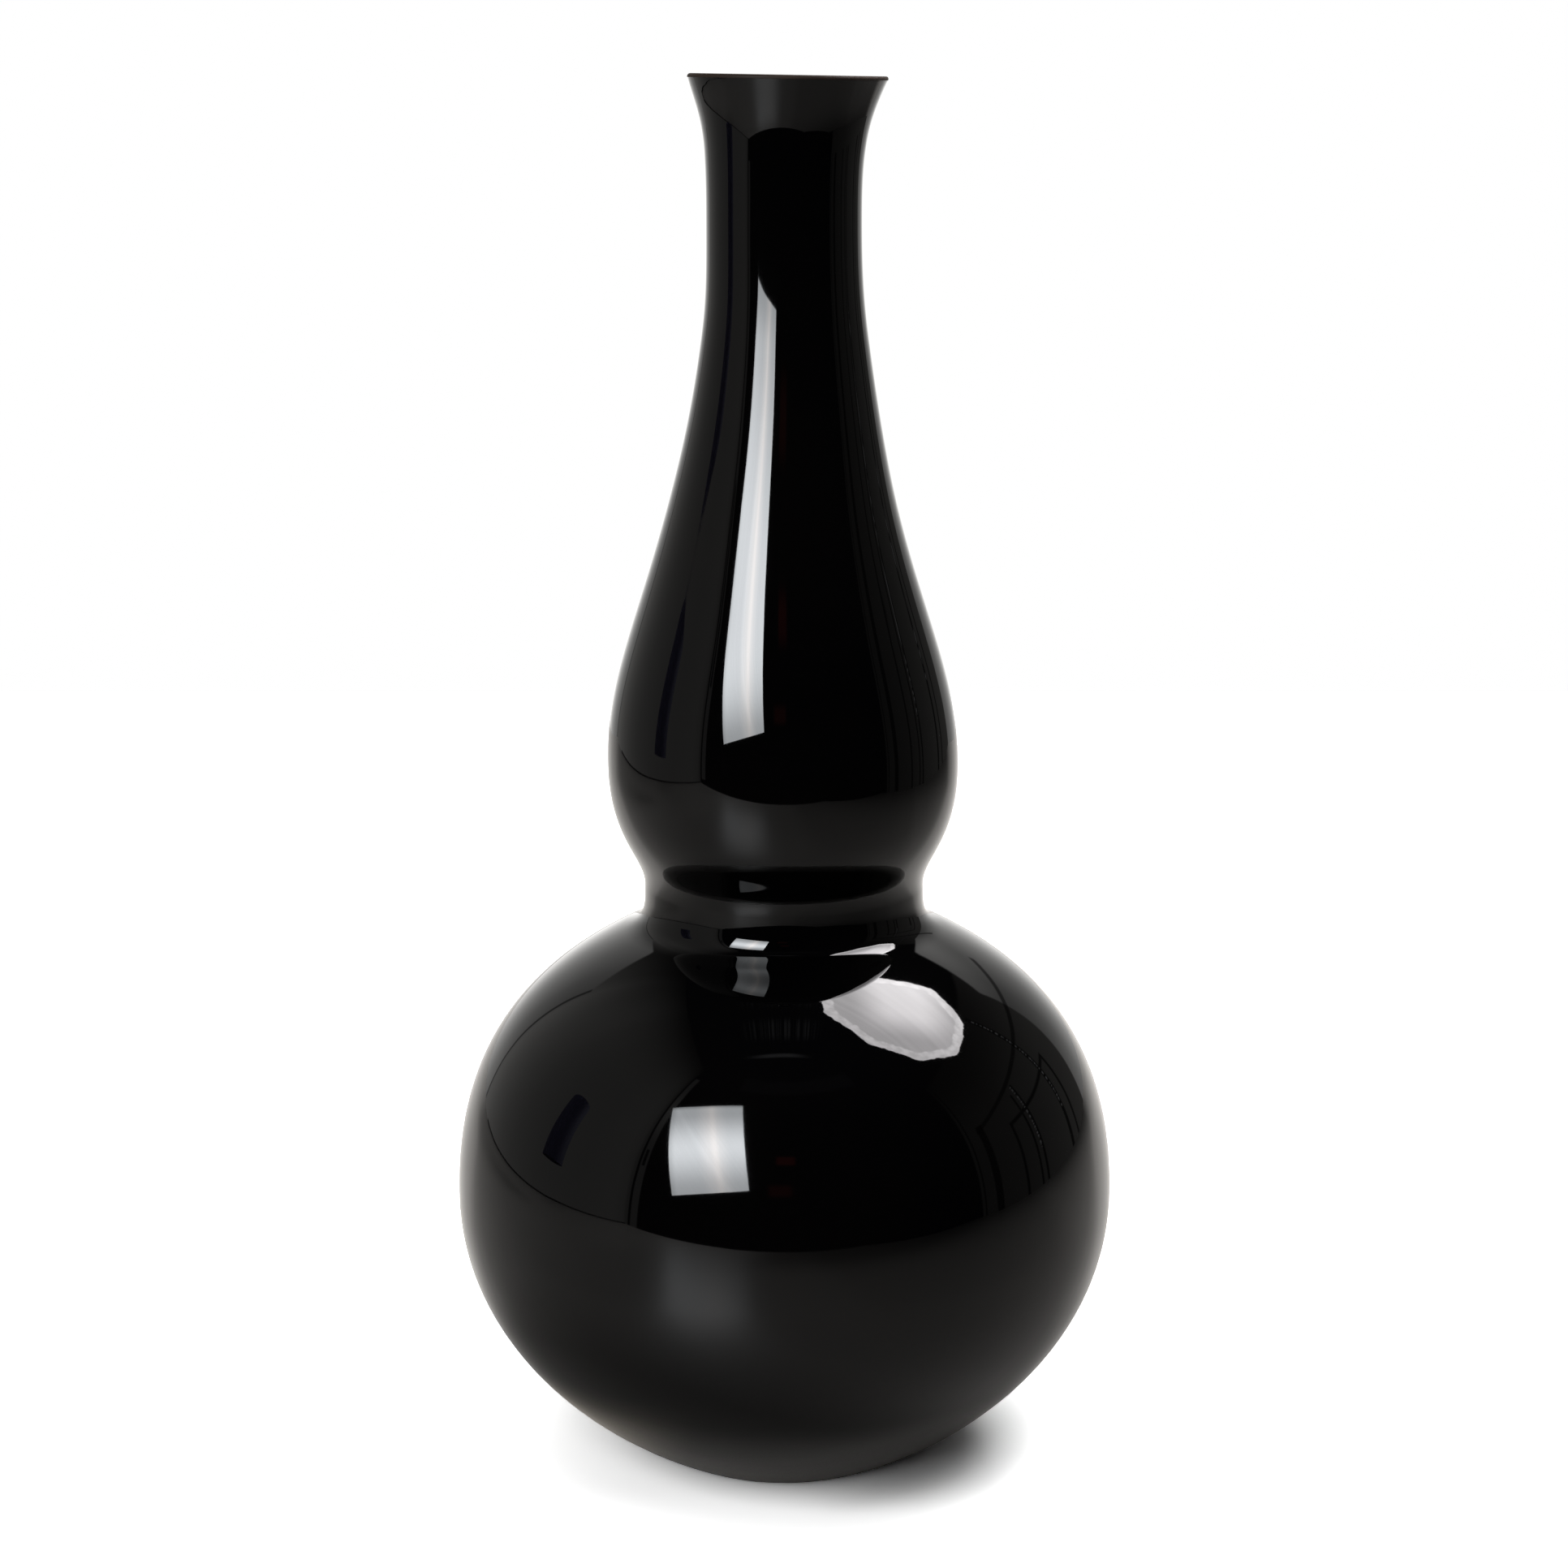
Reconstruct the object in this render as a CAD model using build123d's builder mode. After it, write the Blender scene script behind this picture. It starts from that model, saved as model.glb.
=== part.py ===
"""Double gourd vase in black-glazed ceramic: three thrown sections, keyed and luted one on top of the other.

The vase stands on the XY plane with its axis on +Z and the origin in the middle of its foot.
Every piece is a profile turned about that axis. Lengths are millimetres, angles are degrees.
"""
import os
from math import cos, radians, sin, tan

from build123d import *

# Lower globe, from its foot ring over the shoulder and up through the hollow of the waist
foot_radius = 46.0
foot_ring_width = 6.0
foot_recess_depth = 2.5
foot_recess_slope = 1.5
foot_edge_round = 1.2
foot_angle = 26.4
globe_radius = 120.0
globe_equator_height = 99.5
globe_shoulder_rise = 97.5
shoulder_angle = 26.3
hollow_foot_radius = 58.9
hollow_rise = 15.9
waist_radius = 50.5

# Upper gourd, from the waist over the belly to the joint under the neck
gourd_radius = 63.0
gourd_belly_rise = 44.8
gourd_shoulder_rise = 149.8
neck_seam_radius = 29.7
neck_seam_angle = 7.9

# Neck tube and flared mouth
neck_radius = 27.2
neck_rise = 45.5
mouth_rise = 46.0
mouth_radius = 34.7
mouth_angle = 20.5

# Wall thicknesses, thinning from the base to the lip
base_thickness = 9.0
globe_wall = 5.5
waist_wall = 5.0
gourd_wall = 5.0
neck_seam_wall = 4.4
neck_wall = 4.0
lip_thickness = 2.0

# Luted joints: a tongue on the upper rim in a groove on the lower rim, with slip between them
slip_thickness = 0.5
key_depth = 2.4
key_width_share = 0.55

# How far each curve holds its direction at its lower and upper end, as shares of its rise
globe_base_shares = (0.28, 0.56)
globe_shoulder_shares = (0.486, 0.463)
hollow_shares = (0.534, 0.613)
gourd_base_shares = (0.26, 0.62)
gourd_shoulder_shares = (0.285, 0.575)
neck_shares = (0.30, 0.52)
mouth_shares = (0.60, 0.33)

# Heights of the joints and of the widest and narrowest places
hollow_foot_height = globe_equator_height + globe_shoulder_rise
waist_height = hollow_foot_height + hollow_rise
gourd_foot_height = waist_height + slip_thickness
belly_height = gourd_foot_height + gourd_belly_rise
neck_seam_height = belly_height + gourd_shoulder_rise
neck_foot_height = neck_seam_height + slip_thickness
throat_height = neck_foot_height + neck_rise
vase_height = throat_height + mouth_rise

# Directions up the wall, as angles outwards from upright
foot_lean = 90 - foot_angle
shoulder_lean = shoulder_angle - 90
neck_seam_lean = -neck_seam_angle

# Inside of the waist, where the globe's wall turns up into the bore under the gourd
waist_bore_radius = waist_radius - waist_wall
hollow_foot_bore_radius = hollow_foot_radius - globe_wall * sin(radians(shoulder_angle))
hollow_foot_bore_height = hollow_foot_height - globe_wall * cos(radians(shoulder_angle))

# Both sides of the neck joint, one slip thickness apart along the neck's taper
neck_seam_bore_radius = neck_seam_radius - neck_seam_wall
neck_foot_radius = neck_seam_radius - slip_thickness * tan(radians(neck_seam_angle))
neck_foot_bore_radius = neck_foot_radius - neck_seam_wall


def swelling(start, start_lean, end, end_lean, hold_shares):
    """Curve up a wall from start to end, leaving and arriving at the given leans."""
    rise = end[1] - start[1]
    start_hold = hold_shares[0] * rise
    end_hold = hold_shares[1] * rise
    return Bezier(
        start,
        (start[0] + start_hold * sin(radians(start_lean)), start[1] + start_hold * cos(radians(start_lean))),
        (end[0] - end_hold * sin(radians(end_lean)), end[1] - end_hold * cos(radians(end_lean))),
        end,
    )


def keyed_rim(outer_radius, bore_radius, height):
    """Points across a rim, from its outside to its bore, with the V of the key in the middle of the wall."""
    middle = (outer_radius + bore_radius) / 2
    key_half_width = key_width_share * (outer_radius - bore_radius) / 2
    return [
        (outer_radius, height),
        (middle + key_half_width, height),
        (middle, height - key_depth),
        (middle - key_half_width, height),
        (bore_radius, height),
    ]


# Lower globe: recessed base on a foot ring, swelling wall, hollow waist, and the rim that carries the gourd
foot_ring_inner_radius = foot_radius - foot_ring_width
recess_radius = foot_ring_inner_radius - foot_recess_slope
globe_bore_radius = globe_radius - globe_wall

with BuildPart() as lower_globe:
    with BuildSketch(Plane.XZ):
        with BuildLine():
            Polyline(
                (foot_radius, base_thickness),
                (0, base_thickness),
                (0, foot_recess_depth),
                (recess_radius, foot_recess_depth),
                (foot_ring_inner_radius, 0),
                (foot_radius, 0),
            )
            swelling((foot_radius, 0), foot_lean, (globe_radius, globe_equator_height), 0, globe_base_shares)
            swelling(
                (globe_radius, globe_equator_height), 0,
                (hollow_foot_radius, hollow_foot_height), shoulder_lean, globe_shoulder_shares,
            )
            swelling(
                (hollow_foot_radius, hollow_foot_height), shoulder_lean,
                (waist_radius, waist_height), 0, hollow_shares,
            )
            Polyline(*keyed_rim(waist_radius, waist_bore_radius, waist_height))
            swelling(
                (hollow_foot_bore_radius, hollow_foot_bore_height), shoulder_lean,
                (waist_bore_radius, waist_height), 0, hollow_shares,
            )
            swelling(
                (globe_bore_radius, globe_equator_height), 0,
                (hollow_foot_bore_radius, hollow_foot_bore_height), shoulder_lean, globe_shoulder_shares,
            )
            swelling(
                (foot_radius, base_thickness), foot_lean,
                (globe_bore_radius, globe_equator_height), 0, globe_base_shares,
            )
        make_face()
    revolve(axis=Axis.Z)
    foot_edge = lower_globe.edges().sort_by_distance((foot_radius, 0, 0))[0]
    fillet(foot_edge, radius=foot_edge_round)

# Upper gourd: the tongue at the waist, belly, and the cone with a groove for the neck
gourd_bore_radius = gourd_radius - gourd_wall

with BuildPart() as upper_gourd:
    with BuildSketch(Plane.XZ):
        with BuildLine():
            Polyline(*keyed_rim(waist_radius, waist_bore_radius, gourd_foot_height))
            swelling(
                (waist_radius, gourd_foot_height), 0,
                (gourd_radius, belly_height), 0, gourd_base_shares,
            )
            swelling(
                (gourd_radius, belly_height), 0,
                (neck_seam_radius, neck_seam_height), neck_seam_lean, gourd_shoulder_shares,
            )
            Polyline(*keyed_rim(neck_seam_radius, neck_seam_bore_radius, neck_seam_height))
            swelling(
                (gourd_bore_radius, belly_height), 0,
                (neck_seam_bore_radius, neck_seam_height), neck_seam_lean, gourd_shoulder_shares,
            )
            swelling(
                (waist_bore_radius, gourd_foot_height), 0,
                (gourd_bore_radius, belly_height), 0, gourd_base_shares,
            )
        make_face()
    revolve(axis=Axis.Z)

# Neck and mouth: tapering tube with the tongue under it, opening into a thin lip with a round edge
neck_bore_radius = neck_radius - neck_wall
lip_round = lip_thickness / 2
lip_outer = (
    mouth_radius - lip_round * (1 - cos(radians(mouth_angle))),
    vase_height - lip_round * (1 + sin(radians(mouth_angle))),
)
lip_inner = (
    lip_outer[0] - lip_thickness * cos(radians(mouth_angle)),
    lip_outer[1] + lip_thickness * sin(radians(mouth_angle)),
)
flare_direction = (sin(radians(mouth_angle)), cos(radians(mouth_angle)))

with BuildPart() as neck_and_mouth:
    with BuildSketch(Plane.XZ):
        with BuildLine():
            Polyline(*keyed_rim(neck_foot_radius, neck_foot_bore_radius, neck_foot_height))
            swelling(
                (neck_foot_radius, neck_foot_height), neck_seam_lean,
                (neck_radius, throat_height), 0, neck_shares,
            )
            swelling((neck_radius, throat_height), 0, lip_outer, mouth_angle, mouth_shares)
            TangentArc(lip_outer, lip_inner, tangent=flare_direction)
            swelling((neck_bore_radius, throat_height), 0, lip_inner, mouth_angle, mouth_shares)
            swelling(
                (neck_foot_bore_radius, neck_foot_height), neck_seam_lean,
                (neck_bore_radius, throat_height), 0, neck_shares,
            )
        make_face()
    revolve(axis=Axis.Z)

# Waist seam: slip in the keyed joint, wiped flush at the narrowest place of the waist
with BuildPart() as waist_luting_seam:
    with BuildSketch(Plane.XZ):
        with BuildLine():
            Polyline(
                *keyed_rim(waist_radius, waist_bore_radius, waist_height),
                *reversed(keyed_rim(waist_radius, waist_bore_radius, gourd_foot_height)),
                close=True,
            )
        make_face()
    revolve(axis=Axis.Z)

# Neck seam: slip in the keyed joint, wiped flush with the wall on both sides
with BuildPart() as neck_luting_seam:
    with BuildSketch(Plane.XZ):
        with BuildLine():
            Polyline(
                *keyed_rim(neck_seam_radius, neck_seam_bore_radius, neck_seam_height),
                *reversed(keyed_rim(neck_foot_radius, neck_foot_bore_radius, neck_foot_height)),
                close=True,
            )
        make_face()
    revolve(axis=Axis.Z)

# One file for each piece
os.makedirs("parts", exist_ok=True)
lower_globe.part.label = "lower_globe"
export_step(lower_globe.part, "parts/lower_globe.step")
waist_luting_seam.part.label = "waist_luting_seam"
export_step(waist_luting_seam.part, "parts/waist_luting_seam.step")
upper_gourd.part.label = "upper_gourd"
export_step(upper_gourd.part, "parts/upper_gourd.step")
neck_luting_seam.part.label = "neck_luting_seam"
export_step(neck_luting_seam.part, "parts/neck_luting_seam.step")
neck_and_mouth.part.label = "neck_and_mouth"
export_step(neck_and_mouth.part, "parts/neck_and_mouth.step")
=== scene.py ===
# %% [markdown]
# A double gourd vase in mirror-black glaze
#
# The vase is three thrown sections of clay, luted one on top of the other and glazed black all over.
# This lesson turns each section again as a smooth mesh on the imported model, glazes it, and lights it
# as a product photograph does. A black mirror shows little colour of its own, so the shape of the
# wall and what stands around it make the picture, and most of the work goes into those two.

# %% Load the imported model
from math import cos, pi, radians, sin, tan

import bmesh
import bpy
from mathutils import Matrix, Vector


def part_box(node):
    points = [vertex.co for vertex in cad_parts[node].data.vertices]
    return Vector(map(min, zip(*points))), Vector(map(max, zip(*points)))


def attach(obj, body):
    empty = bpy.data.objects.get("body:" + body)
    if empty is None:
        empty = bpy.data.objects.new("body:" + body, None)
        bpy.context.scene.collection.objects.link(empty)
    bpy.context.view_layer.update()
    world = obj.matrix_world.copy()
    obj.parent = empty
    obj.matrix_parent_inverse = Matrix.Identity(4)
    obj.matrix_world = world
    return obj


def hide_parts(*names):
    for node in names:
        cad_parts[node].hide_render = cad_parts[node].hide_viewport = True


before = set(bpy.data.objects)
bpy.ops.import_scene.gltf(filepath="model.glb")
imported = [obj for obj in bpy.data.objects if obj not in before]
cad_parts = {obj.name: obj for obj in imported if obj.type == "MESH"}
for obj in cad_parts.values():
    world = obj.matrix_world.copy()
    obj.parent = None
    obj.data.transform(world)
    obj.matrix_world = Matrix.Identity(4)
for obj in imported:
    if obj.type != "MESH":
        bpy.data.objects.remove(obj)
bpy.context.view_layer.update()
print("solids:", sorted(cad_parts))

# %% [markdown]
# Sizes of the turned walls
#
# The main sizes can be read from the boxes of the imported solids, so the meshes always follow them.
# What a box can't tell, such as how thick the wall is or how far a curve holds its direction, is
# named here in metres and degrees. A turned wall is then a chain of short runs seen from the side.

# %% Sizes that the solids' boxes give
sections = ("lower_globe", "upper_gourd", "neck_and_mouth")
globe_high, gourd_high, neck_high = [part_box(section)[1] for section in sections]
globe_radius = globe_high.x
gourd_radius = gourd_high.x
mouth_radius = neck_high.x
waist_height = globe_high.z
neck_seam_height = gourd_high.z
vase_height = neck_high.z
print("radii in mm:", [round(1000 * r, 2) for r in (globe_radius, gourd_radius, mouth_radius)])
print("heights in mm:", [round(1000 * h, 2) for h in (waist_height, neck_seam_height, vase_height)])

# %% Sizes of the foot, the waist, the joints and the walls
foot_radius = 0.046
foot_ring_inner_radius = 0.040
recess_radius = 0.0385
foot_recess_depth = 0.0025
foot_edge_round = 0.0012
foot_lean = 63.6
globe_equator_height = 0.0995
hollow_foot = (0.0589, 0.197)
shoulder_lean = -63.7
waist_radius = 0.0505
slip_thickness = 0.0005
belly_height = 0.2582
neck_seam_radius = 0.0297
neck_seam_lean = -7.9
neck_radius = 0.0272
throat_height = 0.454
mouth_angle = 20.5
base_thickness = 0.009
globe_wall = 0.0055
waist_wall = 0.005
gourd_wall = 0.005
neck_seam_wall = 0.0044
neck_wall = 0.004
lip_thickness = 0.002
key_depth = 0.0024
key_width_share = 0.55

gourd_foot_height = waist_height + slip_thickness
neck_foot_height = neck_seam_height + slip_thickness
waist_bore_radius = waist_radius - waist_wall
hollow_bore = (hollow_foot[0] - globe_wall * cos(radians(shoulder_lean)),
               hollow_foot[1] + globe_wall * sin(radians(shoulder_lean)))
neck_foot_radius = neck_seam_radius + slip_thickness * tan(radians(neck_seam_lean))
print("hollow of the waist in mm:", [round(1000 * size, 2) for size in (*hollow_foot, *hollow_bore)])

# %% [markdown]
# Runs of a profile
#
# Each run is one cubic Bezier: where it starts, two handles, and where it ends. A swelling run
# leaves and arrives at a given lean from upright, a straight run goes from corner to corner, and a
# rounded run eases one corner. Sampled points would show as facets in a mirror, and four handles
# don't. A run also says how many rows of faces it gets and how much glaze covers it: all, a thin
# half of it, or none.


# %% Make the runs
def swelling(start, start_lean, end, end_lean, hold_shares, rows):
    """A smooth run of wall between two places, given as radius and height."""
    rise = end[1] - start[1]
    hold, catch = hold_shares[0] * rise, hold_shares[1] * rise
    first = (start[0] + hold * sin(radians(start_lean)), start[1] + hold * cos(radians(start_lean)))
    second = (end[0] - catch * sin(radians(end_lean)), end[1] - catch * cos(radians(end_lean)))
    return {"handles": (start, first, second, end), "rows": rows, "glaze": 1.0}


def straight(start, end, rows=1, glaze=1.0):
    """A straight run of wall."""
    third = [start[axis] + (end[axis] - start[axis]) / 3 for axis in (0, 1)]
    two_thirds = [end[axis] - (end[axis] - start[axis]) / 3 for axis in (0, 1)]
    return {"handles": (start, third, two_thirds, end), "rows": rows, "glaze": glaze}


def rounded(start, corner, end, rows, glaze=1.0):
    """A round run that leaves start towards the corner and arrives at end from it."""
    start, corner, end = Vector(start), Vector(corner), Vector(end)
    turn = (corner - start).angle(end - corner)
    share = 4 / 3 * tan(turn / 4) / tan(turn / 2)
    handles = (start, start.lerp(corner, share), end.lerp(corner, share), end)
    return {"handles": handles, "rows": rows, "glaze": glaze}


def keyed_rim(outer_radius, bore_radius, height):
    """Corners across a joint from the outside to the bore, with a V in the middle of the wall."""
    middle = (outer_radius + bore_radius) / 2
    half_key = key_width_share * (outer_radius - bore_radius) / 2
    return [
        (outer_radius, height), (middle + half_key, height), (middle, height - key_depth),
        (middle - half_key, height), (bore_radius, height),
    ]


def joint_runs(corners):
    """Bare straight runs through the corners of a joint."""
    return [straight(start, end, 1, 0.0) for start, end in zip(corners, corners[1:])]


def reversed_runs(runs):
    """The same runs walked the other way."""
    return [{**run, "handles": tuple(reversed(run["handles"]))} for run in reversed(runs)]


print("joint corners:", len(keyed_rim(waist_radius, waist_bore_radius, waist_height)))

# %% [markdown]
# The lathe
#
# A potter's wheel turns one profile about an axis, and the Geometry Nodes tree here does the same.
# The profile arrives as a curve object. It is swept round a circle only to get the faces, and then
# every point is put at its own radius, height and turn, so no sweep error is left in the mirror.
# The sweep leaves the faces looking into the clay, so they are flipped. A screw modifier would do the
# turning too, but the tree also leans the axis, lets the wall wander a little as a hand-thrown one
# does, and picks out the bare clay and the thin glaze of the lip.


# %% Helpers for node trees
def put(tree, kind, inputs=None, **settings):
    """Adds a node, changes its settings, and fills or links its inputs."""
    made = tree.nodes.new(kind)
    for name, value in settings.items():
        setattr(made, name, value)
    for key, value in (inputs or {}).items():
        if isinstance(value, bpy.types.NodeSocket):
            tree.links.new(value, made.inputs[key])
        else:
            made.inputs[key].default_value = value
    return made


def reckon(tree, operation, *values):
    """A Math node's result."""
    return put(tree, "ShaderNodeMath", dict(enumerate(values)), operation=operation).outputs[0]


def ease(tree, value, start, end, low=0.0, high=1.0):
    """Goes smoothly from low to high while the value goes from start to end."""
    steps = {"Value": value, "From Min": start, "From Max": end, "To Min": low, "To Max": high}
    return put(tree, "ShaderNodeMapRange", steps, interpolation_type="SMOOTHSTEP").outputs[0]


def product(tree, *values):
    """All the values multiplied with each other."""
    result = values[0]
    for value in values[1:]:
        result = reckon(tree, "MULTIPLY", result, value)
    return result


def scaled(tree, vector, amount):
    """A vector made longer or shorter, or a colour lighter or darker."""
    return put(tree, "ShaderNodeVectorMath", {0: vector, "Scale": amount}, operation="SCALE").outputs[0]


def parts_of(tree, vector):
    """The X, Y and Z of a vector."""
    return put(tree, "ShaderNodeSeparateXYZ", {0: vector}).outputs


# %% Start the lathe tree with named inputs
lathe = bpy.data.node_groups.new("potters_lathe", "GeometryNodeTree")
lathe.interface.new_socket("Geometry", in_out="OUTPUT", socket_type="NodeSocketGeometry")
for name, kind in (
    ("Profile", "Object"), ("Turn Steps", "Int"), ("Vase Height", "Float"), ("Sway", "Float"),
    ("Mouth Tilt", "Float"), ("Tilt Start", "Float"), ("Wave Height", "Float"), ("Wave Length", "Float"),
    ("Wave Seed", "Float"), ("Glaze", "Material"), ("Thin Glaze", "Material"), ("Bare Clay", "Material"),
):
    lathe.interface.new_socket(name, in_out="INPUT", socket_type="NodeSocket" + kind)
lathe_in = put(lathe, "NodeGroupInput").outputs
print("lathe inputs:", [socket.name for socket in lathe_in if socket.name])


# %% Sweep the profile round and put every point at its radius, height and turn
def kept(geometry, domain, **fields):
    """Remembers fields as they are on a geometry at this stage."""
    keeper = put(lathe, "GeometryNodeCaptureAttribute", {"Geometry": geometry}, domain=domain)
    for name, field in fields.items():
        keeper.capture_items.new("VECTOR" if field.type == "VECTOR" else "FLOAT", name)
        lathe.links.new(field, keeper.inputs[name])
    return keeper.outputs


profile = put(lathe, "GeometryNodeObjectInfo", {"Object": lathe_in["Profile"]}).outputs["Geometry"]
profile = put(lathe, "GeometryNodeResampleCurve", {"Curve": profile}, mode="EVALUATED").outputs["Curve"]
profile = kept(profile, "POINT", Place=put(lathe, "GeometryNodeInputPosition").outputs[0],
               Glazed=put(lathe, "GeometryNodeInputRadius").outputs[0])
wheel = put(lathe, "GeometryNodeCurvePrimitiveCircle", {"Resolution": lathe_in["Turn Steps"], "Radius": 1.0})
wheel = kept(wheel.outputs["Curve"], "POINT",
             Turn=put(lathe, "GeometryNodeSplineParameter").outputs["Factor"])
swept = put(lathe, "GeometryNodeCurveToMesh", {
    "Curve": wheel["Geometry"], "Profile Curve": profile["Geometry"],
}).outputs["Mesh"]
angle = product(lathe, wheel["Turn"], 2 * pi)
place = parts_of(lathe, profile["Place"])
turned = put(lathe, "ShaderNodeCombineXYZ", {
    "X": product(lathe, place["X"], reckon(lathe, "COSINE", angle)),
    "Y": product(lathe, place["X"], reckon(lathe, "SINE", angle)),
    "Z": place["Z"],
}).outputs[0]
wall = put(lathe, "GeometryNodeSetPosition", {"Geometry": swept, "Position": turned}).outputs["Geometry"]
print("nodes that turn the profile:", len(lathe.nodes))

# %% Remember the glaze on each face, close the seams and poles, and face the wall outwards
weld_distance = 0.000002
faces = kept(wall, "FACE", Glazed=profile["Glazed"])
wall = put(lathe, "GeometryNodeMergeByDistance", {
    "Geometry": faces["Geometry"], "Distance": weld_distance,
}).outputs["Geometry"]
wall = put(lathe, "GeometryNodeFlipFaces", {"Mesh": wall}).outputs["Mesh"]
print("welded within mm:", 1000 * weld_distance)

# %% Lean the axis and tilt the mouth
axis_wander = ((0.42, 0.5), (0.65, 0.30), (0.816, 0.57), (0.91, 0.5), (0.955, 0.58))
here = put(lathe, "GeometryNodeInputPosition").outputs[0]
here_parts = parts_of(lathe, here)
height_share = reckon(lathe, "DIVIDE", here_parts["Z"], lathe_in["Vase Height"])
axis_line = put(lathe, "ShaderNodeFloatCurve", {"Value": height_share})
line_points = axis_line.mapping.curves[0].points
line_points[0].location, line_points[1].location = (0.0, 0.5), (1.0, 0.857)
for share, side in axis_wander:
    line_points.new(share, side)
axis_line.mapping.update()
aside = product(lathe, reckon(lathe, "SUBTRACT", axis_line.outputs[0], 0.5), lathe_in["Sway"])
tilting = ease(lathe, here_parts["Z"], lathe_in["Tilt Start"], lathe_in["Vase Height"])
drop = product(lathe, here_parts["X"], tilting, reckon(lathe, "TANGENT", lathe_in["Mouth Tilt"]), -1.0)
lean = put(lathe, "ShaderNodeCombineXYZ", {"X": aside, "Z": drop}).outputs[0]
print("places that bend the axis:", len(line_points))

# %% Let the wall wander as the potter's hands did
waves = put(lathe, "ShaderNodeTexNoise", {
    "Vector": here, "W": lathe_in["Wave Seed"], "Detail": 1.0,
    "Scale": reckon(lathe, "DIVIDE", 1.0, lathe_in["Wave Length"]),
}, noise_dimensions="4D").outputs["Color"]
waves = put(lathe, "ShaderNodeVectorMath", {0: waves, 1: (0.5, 0.5, 0.5)}, operation="SUBTRACT").outputs[0]
steady_foot = ease(lathe, here_parts["Z"], 0.0, 0.012, 0.0, 2.0)
waves = scaled(lathe, waves, product(lathe, lathe_in["Wave Height"], steady_foot))
wander = put(lathe, "ShaderNodeVectorMath", {0: lean, 1: waves}, operation="ADD").outputs[0]
wall = put(lathe, "GeometryNodeSetPosition", {"Geometry": wall, "Offset": wander}).outputs["Geometry"]
print("nodes with the lean and the waves:", len(lathe.nodes))

# %% Smooth the wall, keep true corners sharp, and end in real geometry with its materials
wall = put(lathe, "GeometryNodeSetShadeSmooth", {
    "Geometry": wall, "Shade Smooth": True,
}, domain="FACE").outputs[0]
corner = put(lathe, "GeometryNodeInputMeshEdgeAngle").outputs["Unsigned Angle"]
corner = put(lathe, "FunctionNodeCompare", {0: corner, 1: radians(30)}, operation="GREATER_THAN").outputs[0]
wall = put(lathe, "GeometryNodeSetShadeSmooth", {
    "Geometry": wall, "Selection": corner, "Shade Smooth": False,
}, domain="EDGE").outputs[0]
wall = put(lathe, "GeometryNodeRealizeInstances", {"Geometry": wall}).outputs[0]
wall = put(lathe, "GeometryNodeSetMaterial", {"Geometry": wall, "Material": lathe_in["Glaze"]}).outputs[0]
for skin_name, limit in (("Thin Glaze", 0.75), ("Bare Clay", 0.25)):
    chosen = put(lathe, "FunctionNodeCompare", {
        0: faces["Glazed"], 1: limit,
    }, operation="LESS_THAN").outputs[0]
    wall = put(lathe, "GeometryNodeSetMaterial", {
        "Geometry": wall, "Selection": chosen, "Material": lathe_in[skin_name],
    }).outputs[0]
put(lathe, "NodeGroupOutput", {"Geometry": wall})
print("lathe nodes:", len(lathe.nodes))

# %% [markdown]
# What firing leaves on a surface
#
# Glaze and bare clay both carry small marks of the kiln. Melted glaze sets with a very slight
# ripple and here and there a pinhole where a bubble burst, and bare clay shows grit. One shader
# group makes the ripple, the pits and a slow cloud, and each material gives it its own sizes.

# %% Shader group for the fired surface
fired = bpy.data.node_groups.new("fired_surface", "ShaderNodeTree")
for name, kind in (
    ("Vector", "Vector"), ("Ripple Scale", "Float"), ("Ripple Detail", "Float"), ("Pit Scale", "Float"),
    ("Pit Size", "Float"), ("Pit Share", "Float"), ("Cloud Scale", "Float"),
):
    fired.interface.new_socket(name, in_out="INPUT", socket_type="NodeSocket" + kind)
for name in ("Height", "Pits", "Cloud"):
    fired.interface.new_socket(name, in_out="OUTPUT", socket_type="NodeSocketFloat")
fired_in = put(fired, "NodeGroupInput").outputs
ripple = put(fired, "ShaderNodeTexNoise", {
    "Vector": fired_in["Vector"], "Scale": fired_in["Ripple Scale"], "Detail": fired_in["Ripple Detail"],
}).outputs["Fac"]
cells = put(fired, "ShaderNodeTexVoronoi", {"Vector": fired_in["Vector"], "Scale": fired_in["Pit Scale"]})
chance = put(fired, "ShaderNodeSeparateColor", {0: cells.outputs["Color"]}).outputs
chosen = reckon(fired, "LESS_THAN", chance[0], fired_in["Pit Share"])
pit_reach = product(fired, fired_in["Pit Size"], reckon(fired, "ADD", chance[1], 0.4))
inside_pit = ease(fired, cells.outputs["Distance"], pit_reach, 0.0)
pits = product(fired, chosen, inside_pit)
cloud = put(fired, "ShaderNodeTexNoise", {
    "Vector": fired_in["Vector"], "Scale": fired_in["Cloud Scale"], "Detail": 3.0,
}).outputs["Fac"]
height = reckon(fired, "SUBTRACT", ripple, pits)
put(fired, "NodeGroupOutput", {"Height": height, "Pits": pits, "Cloud": cloud})
print("fired surface gives:", [item.name for item in fired.interface.items_tree if item.in_out == "OUTPUT"])


# %% A material with the fired surface in it
def fired_material(name, sizes):
    """A new material, and what the fired surface gives it at this material's own sizes."""
    made = bpy.data.materials.new(name)
    made.use_nodes = True
    coordinates = put(made.node_tree, "ShaderNodeTexCoord").outputs["Object"]
    group = put(made.node_tree, "ShaderNodeGroup", {"Vector": coordinates, **sizes}, node_tree=fired)
    return made, group.outputs


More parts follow.
